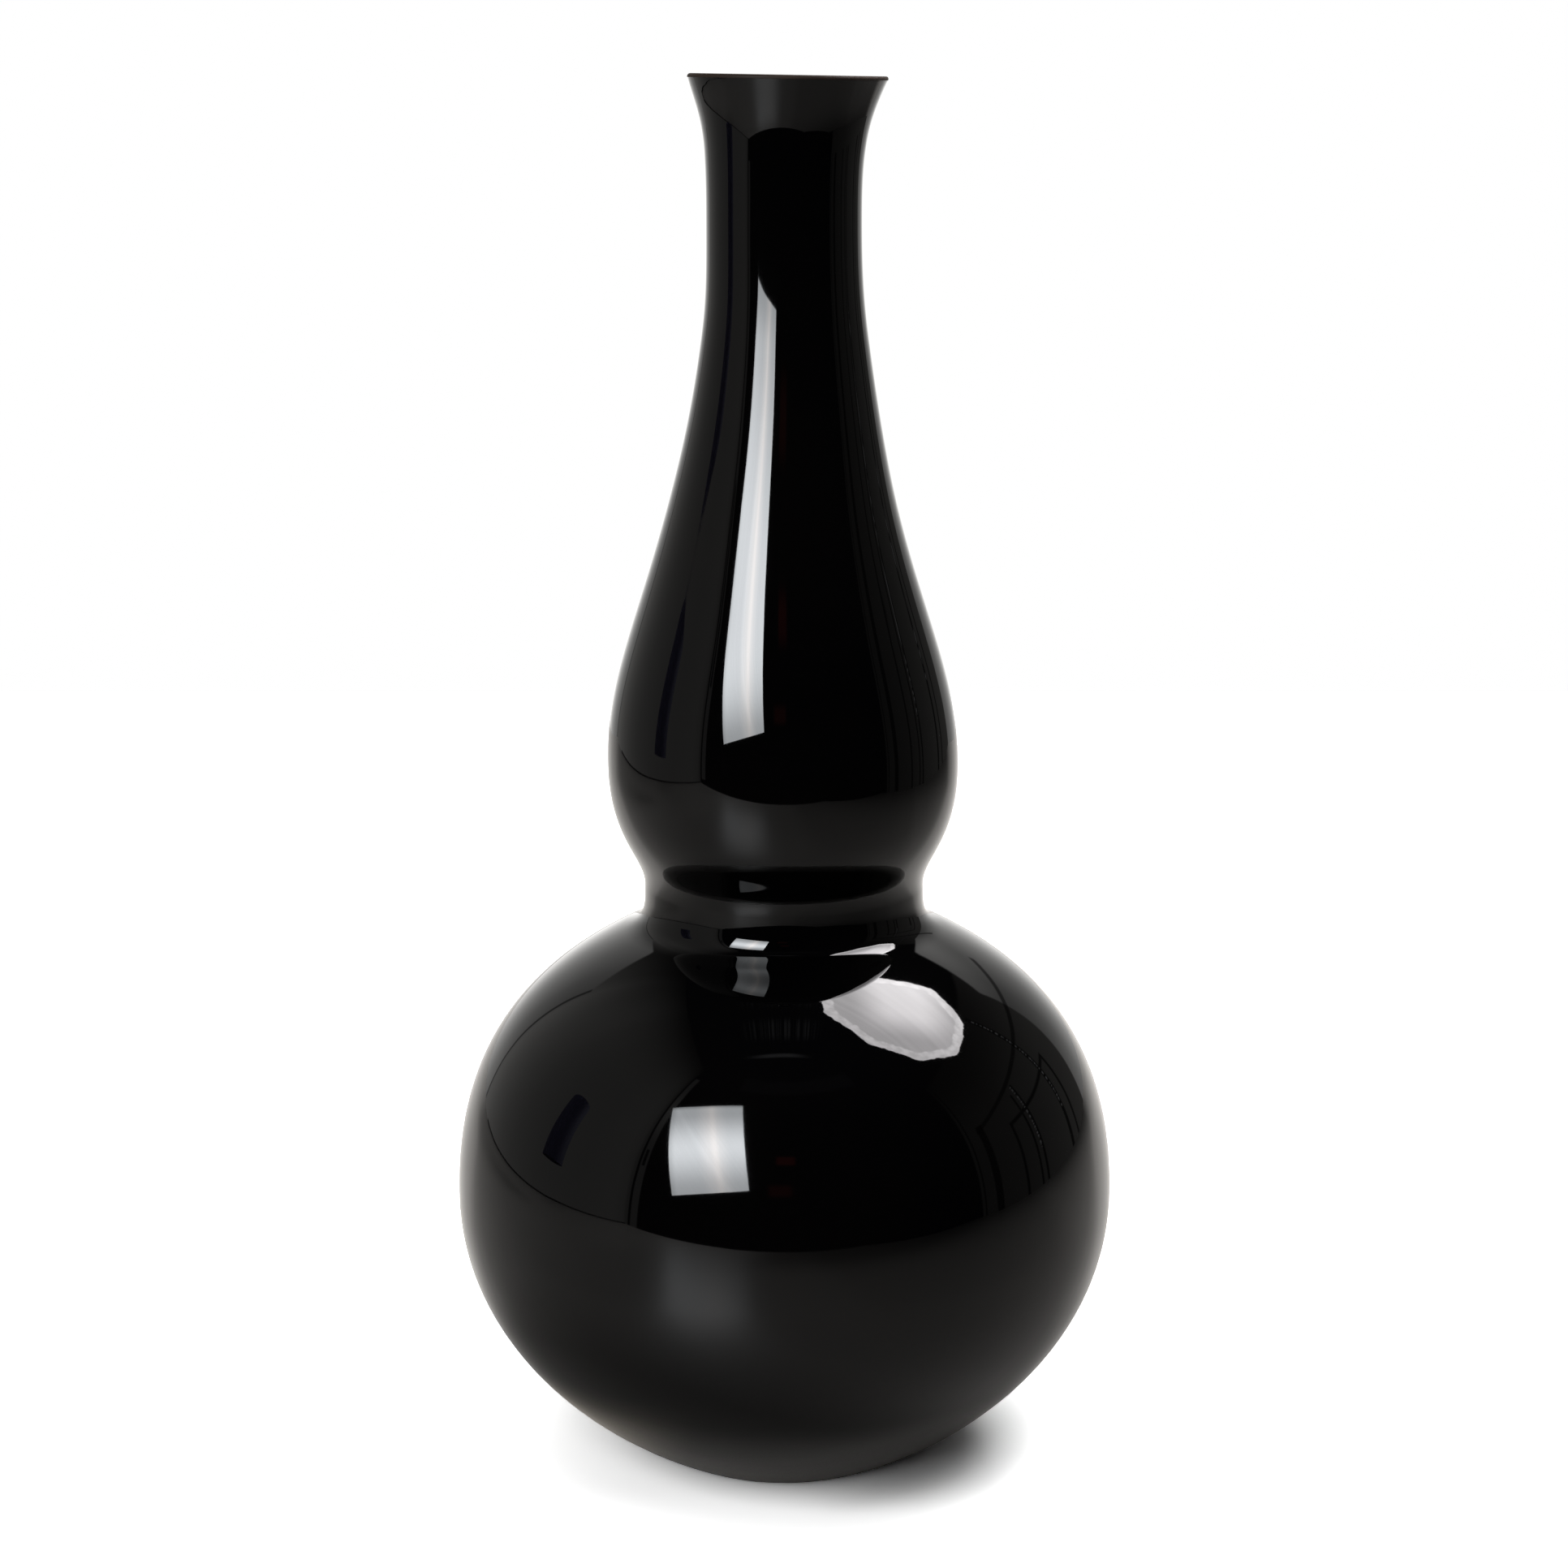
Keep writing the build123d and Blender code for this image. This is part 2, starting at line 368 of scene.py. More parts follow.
def ramp(tree, value, *stops):
    """A colour ramp with the given places and colours."""
    made = put(tree, "ShaderNodeValToRGB", {0: value})
    marks = made.color_ramp.elements
    while len(marks) < len(stops):
        marks.new(0.5)
    for mark, (where, colour) in zip(marks, stops):
        mark.position, mark.color = where, (*colour, 1.0)
    return made.outputs["Color"]


def blended(tree, share, below, above):
    """A mix of two colours, all of the second one where the share is 1."""
    return put(tree, "ShaderNodeMix", {0: share, 6: below, 7: above}, data_type="RGBA").outputs[2]


def dress(made, colour, roughness, height, strength, depth):
    """Links what varies over the surface to the material's shader, and returns the shader."""
    tree = made.node_tree
    shader = tree.nodes["Principled BSDF"]
    relief = put(tree, "ShaderNodeBump", {"Height": height, "Strength": strength, "Distance": depth})
    for socket, value in (("Base Color", colour), ("Roughness", roughness), ("Normal", relief.outputs[0])):
        tree.links.new(value, shader.inputs[socket])
    print(made.name, "nodes:", len(tree.nodes))
    return shader


# %% [markdown]
# Mirror-black glaze
#
# The glaze is an iron-black glass melt. Its colour is almost nothing, and nearly all that the eye
# gets is the reflection on its smooth skin, so a single dark Principled shader with a low roughness
# is right, and a clear coat on top would only double the mirror. On the thin edge of the lip the
# melt runs off, loses its gloss and breaks to rust brown, so that edge has a material of its own.

# %% Black glaze
black_glaze, skin = fired_material("black_glaze", {
    "Ripple Scale": 90.0, "Ripple Detail": 1.0, "Pit Scale": 150.0, "Pit Size": 0.03, "Pit Share": 0.004,
    "Cloud Scale": 14.0,
})
tree = black_glaze.node_tree
body_colour = ramp(tree, skin["Cloud"], (0.35, (0.0004, 0.0004, 0.0005)), (0.65, (0.0008, 0.0007, 0.0007)))
pit_colour = blended(tree, skin["Pits"], body_colour, (0.03, 0.026, 0.022, 1.0))
smooth = ease(tree, skin["Cloud"], 0.3, 0.7, 0.015, 0.04)
rough = reckon(tree, "MULTIPLY_ADD", skin["Pits"], 0.25, smooth)
shader = dress(black_glaze, pit_colour, rough, skin["Height"], 1.0, 0.00001)
shader.inputs["IOR"].default_value = 1.5

# %% Thin rust-brown glaze on the lip
rust_glaze, skin = fired_material("rust_glaze", {
    "Ripple Scale": 1200.0, "Ripple Detail": 2.0, "Pit Scale": 500.0, "Pit Size": 0.3, "Pit Share": 0.2,
    "Cloud Scale": 40.0,
})
tree = rust_glaze.node_tree
rust_colour = ramp(tree, skin["Cloud"], (0.35, (0.014, 0.009, 0.0065)), (0.65, (0.026, 0.016, 0.011)))
rough = ease(tree, skin["Cloud"], 0.3, 0.7, 0.55, 0.7)
shader = dress(rust_glaze, rust_colour, rough, skin["Height"], 0.5, 0.00005)
shader.inputs["Specular IOR Level"].default_value = 0.15

# %% [markdown]
# Bare clay
#
# The foot ring is wiped clean before firing so that the vase doesn't stick to the kiln shelf, and
# the faces inside the joints never see glaze. There the fired stoneware shows, buff and gritty.

# %% Bare stoneware and fired slip
bare_clay, skin = fired_material("bare_clay", {
    "Ripple Scale": 1800.0, "Ripple Detail": 4.0, "Pit Scale": 700.0, "Pit Size": 0.45, "Pit Share": 0.35,
    "Cloud Scale": 60.0,
})
tree = bare_clay.node_tree
clay_colour = ramp(tree, skin["Cloud"], (0.3, (0.30, 0.23, 0.165)), (0.7, (0.42, 0.335, 0.25)))
grit = blended(tree, skin["Pits"], clay_colour, (0.13, 0.09, 0.06, 1.0))
rough = ease(tree, skin["Cloud"], 0.3, 0.7, 0.72, 0.9)
dress(bare_clay, grit, rough, skin["Height"], 0.7, 0.00025)

# %% [markdown]
# Turning a piece
#
# A piece starts as its profile, a curve object that only the lathe needs. The lathe is a modifier
# on an empty mesh. Its inputs are set by their identifiers, the evaluated result is kept as a plain
# mesh, and the modifier and the profile are taken away, so that what is left can be exported.

# %% Settings of the lathe and the potter's hand
lathe_sockets = {item.name: item.identifier for item in lathe.interface.items_tree if item.in_out == "INPUT"}
hand = {
    "Turn Steps": 320, "Vase Height": vase_height, "Sway": 0.004, "Mouth Tilt": radians(0.96),
    "Tilt Start": 0.44, "Wave Height": 0.00008, "Wave Length": 0.06, "Wave Seed": 3.0,
    "Glaze": black_glaze, "Thin Glaze": rust_glaze, "Bare Clay": bare_clay,
}
print("settings of the lathe:", len(hand))


# %% Turn a piece on the lathe
def placed(name, data):
    """A new object in the scene."""
    made = bpy.data.objects.new(name, data)
    bpy.context.scene.collection.objects.link(made)
    return made


def profile_curve(name, runs):
    """A curve object in the XZ plane with one Bezier spline for each run, its radius telling the glaze."""
    curve = bpy.data.curves.new(name, "CURVE")
    curve.dimensions = "3D"
    for run in runs:
        spline = curve.splines.new("BEZIER")
        spline.bezier_points.add(1)
        spline.resolution_u = run["rows"]
        start, first, second, end = [(radius, 0.0, height) for radius, height in run["handles"]]
        places = (start, start, first), (second, end, end)
        for point, (before, middle, after) in zip(spline.bezier_points, places):
            point.handle_left_type = point.handle_right_type = "FREE"
            point.co, point.handle_left, point.handle_right = middle, before, after
            point.radius = run["glaze"]
    return placed(name, curve)


def turn_piece(name, runs):
    """Turns the runs into a mesh that stands for the solid of the same name."""
    guide = profile_curve(name + "_profile", runs)
    blank = placed(name + "_blank", bpy.data.meshes.new(name + "_blank"))
    modifier = blank.modifiers.new("lathe", "NODES")
    modifier.node_group = lathe
    for socket, value in {**hand, "Profile": guide}.items():
        modifier[lathe_sockets[socket]] = value
    evaluated = blank.evaluated_get(bpy.context.evaluated_depsgraph_get())
    mesh = bpy.data.meshes.new_from_object(evaluated)
    blank.modifiers.clear()
    bpy.data.objects.remove(blank)
    bpy.data.objects.remove(guide)
    mesh.name = name + "_wall"
    piece = placed(name + "_wall", mesh)
    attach(piece, "root")
    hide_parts(name)
    solid = bmesh.new()
    solid.from_mesh(mesh)
    print(name, "faces", len(mesh.polygons), "open edges", sum(not edge.is_manifold for edge in solid.edges),
          "volume in cm3", round(1e6 * solid.calc_volume(signed=True), 2))
    solid.free()


# %% [markdown]
# Lower globe
#
# The globe stands on a narrow foot ring round a shallow recess. The wall swells out to the widest
# place at about half its height, turns in with almost the curve of a ball, and then sweeps up
# through the hollow of the waist. The hollow is small but bends tightly, so it gets many rows. Its
# rim is grooved for the gourd and hidden in the joint, and the inside follows the outside.

# %% Turn the lower globe
edge_reach = foot_edge_round * tan(radians(90 - foot_lean) / 2)
wall_foot = (foot_radius + edge_reach * sin(radians(foot_lean)), edge_reach * cos(radians(foot_lean)))
globe_rim = keyed_rim(waist_radius, waist_bore_radius, waist_height)
equator = (globe_radius, globe_equator_height)
equator_bore = (globe_radius - globe_wall, globe_equator_height)
globe_base_shares, globe_shoulder_shares, hollow_shares = (0.28, 0.56), (0.486, 0.463), (0.534, 0.613)
turn_piece("lower_globe", [
    straight((0.0, foot_recess_depth), (recess_radius, foot_recess_depth), 6),
    straight((recess_radius, foot_recess_depth), (foot_ring_inner_radius, 0.0), 2),
    straight((foot_ring_inner_radius, 0.0), (foot_radius - edge_reach, 0.0), 3, 0.0),
    rounded((foot_radius - edge_reach, 0.0), (foot_radius, 0.0), wall_foot, 4),
    swelling(wall_foot, foot_lean, equator, 0, globe_base_shares, 80),
    swelling(equator, 0, hollow_foot, shoulder_lean, globe_shoulder_shares, 80),
    swelling(hollow_foot, shoulder_lean, globe_rim[0], 0, hollow_shares, 48),
    *joint_runs(globe_rim),
    *reversed_runs([
        straight((0.0, base_thickness), (foot_radius, base_thickness), 4),
        swelling((foot_radius, base_thickness), foot_lean, equator_bore, 0, globe_base_shares, 32),
        swelling(equator_bore, 0, hollow_bore, shoulder_lean, globe_shoulder_shares, 30),
        swelling(hollow_bore, shoulder_lean, globe_rim[-1], 0, hollow_shares, 16),
    ]),
])

# %% [markdown]
# Upper gourd
#
# The gourd rises from the narrowest place of the waist, bellies out and draws in to the neck in one
# long hollow curve. It is one section on the wheel, with a tongue under it that keys into the globe.

# %% Turn the upper gourd
gourd_foot = keyed_rim(waist_radius, waist_bore_radius, gourd_foot_height)
gourd_rim = keyed_rim(neck_seam_radius, neck_seam_radius - neck_seam_wall, neck_seam_height)
belly = (gourd_radius, belly_height)
belly_bore = (gourd_radius - gourd_wall, belly_height)
gourd_base_shares, gourd_shoulder_shares = (0.26, 0.62), (0.285, 0.575)
turn_piece("upper_gourd", [
    *joint_runs(list(reversed(gourd_foot))),
    swelling(gourd_foot[0], 0, belly, 0, gourd_base_shares, 60),
    swelling(belly, 0, gourd_rim[0], neck_seam_lean, gourd_shoulder_shares, 110),
    *joint_runs(gourd_rim),
    *reversed_runs([
        swelling(gourd_foot[-1], 0, belly_bore, 0, gourd_base_shares, 30),
        swelling(belly_bore, 0, gourd_rim[-1], neck_seam_lean, gourd_shoulder_shares, 44),
    ]),
])

# %% [markdown]
# Neck and mouth
#
# The neck tapers a little more, then opens into the flared mouth with a thin, rounded lip. The
# inside of the flare can be seen from above, so it gets as many rows as the outside.

# %% Turn the neck and the mouth
lip_round = lip_thickness / 2
lip_outer = (mouth_radius - lip_round * (1 - cos(radians(mouth_angle))),
             vase_height - lip_round * (1 + sin(radians(mouth_angle))))
lip_inner = (lip_outer[0] - lip_thickness * cos(radians(mouth_angle)),
             lip_outer[1] + lip_thickness * sin(radians(mouth_angle)))
flare = (lip_round * sin(radians(mouth_angle)), lip_round * cos(radians(mouth_angle)))
lip_crown = ((lip_outer[0] + lip_inner[0]) / 2 + flare[0], (lip_outer[1] + lip_inner[1]) / 2 + flare[1])
neck_foot = keyed_rim(neck_foot_radius, neck_foot_radius - neck_seam_wall, neck_foot_height)
throat, throat_bore = (neck_radius, throat_height), (neck_radius - neck_wall, throat_height)
neck_shares, mouth_shares = (0.30, 0.52), (0.60, 0.33)
turn_piece("neck_and_mouth", [
    *joint_runs(list(reversed(neck_foot))),
    swelling(neck_foot[0], neck_seam_lean, throat, 0, neck_shares, 48),
    swelling(throat, 0, lip_outer, mouth_angle, mouth_shares, 56),
    rounded(lip_outer, (lip_outer[0] + flare[0], lip_outer[1] + flare[1]), lip_crown, 8, 0.5),
    rounded(lip_crown, (lip_inner[0] + flare[0], lip_inner[1] + flare[1]), lip_inner, 8, 0.5),
    *reversed_runs([
        swelling(neck_foot[-1], neck_seam_lean, throat_bore, 0, neck_shares, 40),
        swelling(throat_bore, 0, lip_inner, mouth_angle, mouth_shares, 56),
    ]),
])

# %% [markdown]
# Luted seams
#
# Liquid clay, called slip, glues the sections together. It fills the keyed joint as a thin ring and
# is wiped flush with the wall outside and inside, so under the glaze nothing shows of it. Only these
# two narrow strips are glazed, and the rest of each ring is bare clay inside the joint.


# %% Turn the two seams
def turn_seam(name, lower_rim, upper_rim):
    """A ring of slip between the rim below and the rim above."""
    turn_piece(name, [
        straight(lower_rim[0], upper_rim[0], 2),
        *joint_runs(upper_rim),
        straight(upper_rim[-1], lower_rim[-1], 2),
        *joint_runs(list(reversed(lower_rim))),
    ])


turn_seam("waist_luting_seam", globe_rim, gourd_foot)
turn_seam("neck_luting_seam", gourd_rim, neck_foot)

# %% [markdown]
# The table
#
# A sheet of white paper lies under the vase. It ends before the camera, with its right front corner
# cut away, which is why the glaze turns black above a clear edge. The camera sees the paper as pure
# white with the soft shadow on it. Painted shade deepens that shadow in the crook at the right of the
# foot, and a painted white lift ends it further out. The glaze sees the set's light painted into the
# paper's colour: grey in front, a painted pool of light and glow in a wedge behind the vase, painted
# shadows and a painted warm glow near the foot, and a painted reflection of the dark room where its
# sheen looks at a glancing angle. Light Path picks between the two, so neither needs more light on the vase.

# %% White paper under the vase
paper_side, paper_front, paper_back = 1.36, -1.02, 1.5
cut_corner = [(0.5, paper_front), (1.15, -0.55), (1.3, 0.2)]
paper_outline = [(-paper_side, paper_front), *cut_corner, (paper_side, paper_back), (-paper_side, paper_back)]
paper = bpy.data.meshes.new("paper_sheet")
paper.from_pydata([(*corner, 0.0) for corner in paper_outline], [], [tuple(range(len(paper_outline)))])
paper_sheet = placed("paper_sheet", paper)
print("paper in m:", 2 * paper_side, "by", paper_back - paper_front)


# %% Tones of the paper
def tones(tint, *stops):
    """Stops for a ramp with one tint in different tones."""
    return [(where, [tone * part for part in tint]) for where, tone in stops]


paper_tint = (1.04, 1.0, 0.955)
print("white of the paper:", paper_tint)

# %% Places on the paper, and the wedge of painted light behind the vase
white_paper = bpy.data.materials.new("white_paper")
white_paper.use_nodes = True
tree = white_paper.node_tree
spot = put(tree, "ShaderNodeTexCoord").outputs["Object"]
spot_parts = parts_of(tree, spot)
side, depth = spot_parts["X"], spot_parts["Y"]
away = put(tree, "ShaderNodeVectorMath", {0: spot}, operation="LENGTH").outputs["Value"]
beside = reckon(tree, "MAXIMUM", reckon(tree, "SUBTRACT", reckon(tree, "ABSOLUTE", side), 0.19), 0.0)
wedge = reckon(tree, "MULTIPLY_ADD", beside, -0.95, depth)
near_wedge = product(tree, wedge, ease(tree, away, 0.5, 1.2, 1.0, 0.35))
tooth = put(tree, "ShaderNodeTexNoise", {"Vector": spot, "Scale": 900.0, "Detail": 3.0}).outputs["Fac"]
print("nodes that place a spot on the paper:", len(tree.nodes))

# %% Painted light and shade of the paper as the glaze sees it
# Painted light: the paper's colour goes from grey in front to near white in the wedge behind the vase.
painted_set_light = ramp(tree, reckon(tree, "ADD", near_wedge, 0.5), *tones(
    paper_tint, (0.0, 0.285), (0.25, 0.31), (0.4, 0.37), (0.5, 0.43), (0.55, 0.53),
    (0.585, 0.68), (0.615, 0.82), (0.65, 0.87), (0.78, 0.93)))
# Painted light: a warm glow on the paper beside the foot at the left.
painted_foot_glow = product(tree, ease(tree, away, 0.115, 0.085, 0.0, 0.55), ease(tree, side, -0.035, -0.075))
painted_set_light = blended(tree, painted_foot_glow, painted_set_light, (0.97, 0.88, 0.75, 1.0))
# Painted reflection: the paper darkens at a glancing angle in front, as if its sheen mirrored the dark room.
glancing = put(tree, "ShaderNodeLayerWeight", {"Blend": 0.5}).outputs["Facing"]
painted_room_reflection = product(tree, ease(tree, glancing, 0.72, 0.86, 0.0, 0.55),
                    ease(tree, depth, -0.15, -0.7), ease(tree, side, -0.25, 0.0))
# Painted shadow: the paper darkens in a ring in front of the foot, under the overhang of the globe.
painted_overhang_shadow = product(tree, ease(tree, away, 0.3, 0.1, 0.0, 0.4),
                   ease(tree, away, 0.075, 0.1), ease(tree, depth, 0.06, -0.03))
# Painted shade: the paper is darker at the right of the vase, towards the front.
painted_lamp_side_shade = product(tree, ease(tree, side, 0.05, 0.2, 0.0, 0.18), ease(tree, depth, 0.12, 0.0))
for shade in (painted_room_reflection, painted_overhang_shadow, painted_lamp_side_shade):
    painted_set_light = scaled(tree, painted_set_light, reckon(tree, "SUBTRACT", 1.0, shade))
# Painted light and shade by place: darker towards the front, lighter far to the left and darker far to the
# right. The last level is the paper's grain.
for level in (
    ease(tree, depth, -0.3, 0.05, 0.82, 1.0), ease(tree, side, -0.2, -0.7, 1.0, 1.3),
    ease(tree, side, 0.35, 1.4, 1.0, 0.5), ease(tree, tooth, 0.3, 0.7, 0.96, 1.04),
):
    painted_set_light = scaled(tree, painted_set_light, level)
# Painted light: the paper glows in the wedge behind the vase, less towards the left, as if lit from behind.
painted_back_glow = ramp(tree, wedge, *tones(
    paper_tint, (0.15, 0.0), (0.3, 0.14), (0.42, 0.26), (0.62, 0.36), (0.8, 0.48)))
painted_back_glow = scaled(tree, painted_back_glow, ease(tree, side, -0.35, 0.1, 0.6, 1.0))
sheen = ease(tree, away, 0.1, 0.3, 0.6, 0.34)
shader = tree.nodes["Principled BSDF"]
for socket, value in (("Base Color", painted_set_light), ("Emission Color", painted_back_glow), ("Roughness", sheen)):
    tree.links.new(value, shader.inputs[socket])
shader.inputs["Emission Strength"].default_value = 1.0
shader.inputs["Specular IOR Level"].default_value = 0.4
print("paper nodes for the glaze:", len(tree.nodes))

# %% The paper as the camera sees it
white_level = 2.07
to_camera = put(tree, "ShaderNodeLightPath").outputs["Is Camera Ray"]
in_print = ramp(tree, tooth, (0.3, (0.93, 0.93, 0.93)), (0.7, (0.95, 0.95, 0.95)))
# Painted shadow: the paper is darker in the crook under the right side of the globe, close to the foot.
painted_crook_shadow = product(tree, ease(tree, side, 0.0, 0.05), ease(tree, away, 0.082, 0.06, 0.0, 0.45))
in_print = scaled(tree, in_print, reckon(tree, "MULTIPLY_ADD", painted_crook_shadow, -white_level, white_level))
shadowed = put(tree, "ShaderNodeBsdfDiffuse", {"Color": in_print}).outputs[0]
# Painted light: an emission lifts the paper to white from a little way out from the foot, and a little more
# in front, so that the shadow ends close to the vase.
clear = reckon(tree, "ADD", ease(tree, away, 0.07, 0.16), ease(tree, depth, -0.045, -0.085, 0.0, 0.16))
painted_white_lift = put(tree, "ShaderNodeEmission", {"Strength": clear}).outputs[0]
printed = put(tree, "ShaderNodeAddShader", {0: shadowed, 1: painted_white_lift}).outputs[0]
paper_skin = put(tree, "ShaderNodeMixShader", {0: to_camera, 1: shader.outputs[0], 2: printed}).outputs[0]
tree.links.new(paper_skin, tree.nodes["Material Output"].inputs["Surface"])
paper.materials.append(white_paper)
print("paper nodes in all:", len(tree.nodes))

# %% [markdown]
# Things beside the table
#
# Near things shift against the wall when they are mirrored in the globe and again in the gourd, so
# they have to be real geometry: a near-black strip of painted shade where the paper curls up at its
# left edge, and a dark blue tube.
# They are hidden from the camera, because another view could look right through them.


# %% Curled paper edge as a strip of painted shade, which only the mirror sees
def prop(name, corners, faces, colour):
    """A simple staged object that the camera doesn't see."""
    mesh = bpy.data.meshes.new(name)
    mesh.from_pydata(corners, [], faces)
    made = placed(name, mesh)
    made.visible_camera = False
    skin = bpy.data.materials.new(name)
    skin.use_nodes = True
    shader = skin.node_tree.nodes["Principled BSDF"]
    shader.inputs["Base Color"].default_value = (*colour, 1.0)
    shader.inputs["Roughness"].default_value = 0.8
    mesh.materials.append(skin)
    print("staged", name, "with", len(faces), "faces")


edge_back, edge_rise = 1.1, 0.01
edge_corners = [(paper_front, 0.0), (edge_back, 0.0), (edge_back, edge_rise), (paper_front, edge_rise)]
# The strip is near black: painted shade of the curled edge of the paper.
prop("paper_edge", [(-paper_side, *corner) for corner in edge_corners], [(0, 1, 2, 3)], (0.02, 0.02, 0.02))

# %% Blue tube, which only the mirror sees
tube_sides, tube_radius, tube_foot, tube_top = 32, 0.075, 0.205, 0.545
tube_middle = Vector((-0.865, -0.095))
tube_angles = [2 * pi * step / tube_sides for step in range(tube_sides)]
tube_ring = [tube_middle + tube_radius * Vector((cos(angle), sin(angle))) for angle in tube_angles]
tube_faces = [
    (step, after, tube_sides + after, tube_sides + step)
    for step, after in enumerate([*range(1, tube_sides), 0])
]
tube_lid = tuple(range(tube_sides, 2 * tube_sides))
prop("blue_tube", [(*place, height) for height in (tube_foot, tube_top) for place in tube_ring],
     [*tube_faces, tube_lid], (0.028, 0.026, 0.07))

# %% [markdown]
# The studio around the vase
#
# A black mirror shows the room more than itself, so the room is painted too. A pale wall stands at
# the left with a door post, a darker wall at the right behind the stands of the backdrop, and the
# room in front is dark under a slatted ceiling. The world shader finds the turn round the vase and
# the rise above the horizon of each direction in degrees, and lays one surface over the other, which
# needs no geometry that could stand in another camera's way. The camera itself sees plain white.

# %% Turn and rise of each direction
studio = bpy.data.worlds.new("studio")
bpy.context.scene.world = studio
studio.use_nodes = True
room = studio.node_tree
room.nodes.clear()
gaze = put(room, "ShaderNodeTexCoord").outputs["Generated"]
gaze_parts = parts_of(room, gaze)
towards = product(room, gaze_parts["Y"], -1.0)
turn = product(room, reckon(room, "ARCTAN2", gaze_parts["X"], towards), 180 / pi)
rise = product(room, reckon(room, "ARCSINE", gaze_parts["Z"]), 180 / pi)
far_turn = reckon(room, "ABSOLUTE", turn)
print("turn and rise from", len(room.nodes), "nodes")


# %% Helpers for painting the room
def between(value, low, high, soft=0.4):
    """1 where the value lies between low and high, 0 outside, with soft edges."""
    return product(room, ease(room, value, low - soft, low + soft),
                   ease(room, value, high - soft, high + soft, 1.0, 0.0))


def panel(turn_low, turn_high, rise_low, rise_high, soft=0.4):
    """1 inside a patch of directions."""
    return product(room, between(turn, turn_low, turn_high, soft), between(rise, rise_low, rise_high, soft))


def steepness(wall_turn):
    """How steeply a direction climbs a wall that faces the vase from that turn."""
    to_wall = (sin(radians(wall_turn)), -cos(radians(wall_turn)), 0.0)
    run = put(room, "ShaderNodeVectorMath", {0: gaze, 1: to_wall}, operation="DOT_PRODUCT").outputs["Value"]
    return reckon(room, "DIVIDE", gaze_parts["Z"], reckon(room, "MAXIMUM", run, 0.05))


def turn_tones(value, tint, *stops):
    """A tone for each turn in degrees, tinted."""
    first, last = stops[0][0], stops[-1][0]
    share = reckon(room, "DIVIDE", reckon(room, "SUBTRACT", value, first), last - first)
    shares = [((where - first) / (last - first), tone) for where, tone in stops]
    return ramp(room, share, *tones(tint, *shares))


def line_noise(tree, value, detail=2.0):
    """Noise that changes along one value only."""
    noise = put(tree, "ShaderNodeTexNoise", {"W": value, "Detail": detail}, noise_dimensions="1D")
    return noise.outputs["Fac"]


def lay(below, above, cover):
    """One surface over another where the cover is 1."""
    return blended(room, cover, below, above)


# %% Dark room and its ceiling
arch = product(room, reckon(room, "POWER", reckon(room, "DIVIDE", turn, 30), 2), 2.4)
rail = product(room, between(reckon(room, "ADD", rise, arch), 75.2, 76.8, 0.5),
               between(turn, -28, 18, 14))
view = lay((0.004, 0.004, 0.005, 1.0), (0.009, 0.009, 0.011, 1.0), ease(room, rise, 40, 62))
view = lay(view, (0.022, 0.022, 0.025, 1.0), panel(-26, 42, 57.5, 63.5, 1.2))
view = lay(view, (0.2, 0.2, 0.207, 1.0), rail)
overhead = reckon(room, "MAXIMUM", gaze_parts["Z"], 0.05)
ceiling_side = reckon(room, "DIVIDE", gaze_parts["X"], overhead)
ceiling_front = reckon(room, "DIVIDE", towards, overhead)
slat_rows = reckon(room, "MULTIPLY_ADD", between(ceiling_front, -0.23, -0.14, 0.03), 0.5,
                   between(ceiling_front, -0.03, 0.11, 0.04))
slats = ease(room, line_noise(room, product(room, ceiling_side, 14)), 0.44, 0.62)
slats = product(room, slats, slat_rows, between(ceiling_side, -0.15, 0.13, 0.06))
view = lay(view, (0.1, 0.1, 0.103, 1.0), slats)
for patch, colour in (
    (panel(-3, 4, 25.5, 29, 0.8), (0.11, 0.018, 0.016, 1.0)),
    (panel(-5.5, 2.5, 12.5, 17, 1.2), (0.07, 0.016, 0.014, 1.0)),
):
    view = lay(view, colour, patch)
print("with the dark room", len(room.nodes), "nodes")

# %% Left wall with its door post
wall_tone = turn_tones(
    turn, (1.02, 1.0, 0.965), (-165, 0.05), (-150, 0.12), (-142, 0.25), (-138, 0.37), (-130, 0.305),
    (-120, 0.25), (-110, 0.215), (-95, 0.197), (-75, 0.2), (-60, 0.225), (-56, 0.2), (-55, 0.14))
climb = steepness(-92)
far_dusk = product(room, ease(room, turn, -115, -140), ease(room, rise, 18, 55, 0.0, 0.6))
wall_tone = scaled(room, wall_tone, ease(room, climb, 0.9, 2.45, 1.0, 0.1))
wall_tone = scaled(room, wall_tone, reckon(room, "SUBTRACT", 1.0, far_dusk))
wall_top = ease(room, climb, 2.25, 2.33, 1.0, 0.0)
view = lay(view, wall_tone, product(room, between(turn, -170, -54.2, 0.3), wall_top))
post_glint = reckon(room, "MULTIPLY_ADD", between(rise, 34, 46, 9), 0.15, 0.13)
view = lay(view, scaled(room, (1.0, 0.99, 0.97), post_glint), panel(-53.3, -50.7, -8, 57, 0.25))
view = lay(view, (0.01, 0.01, 0.012, 1.0), panel(-52.7, -51.6, 17, 23.5, 0.3))
print("with the left wall", len(room.nodes), "nodes")

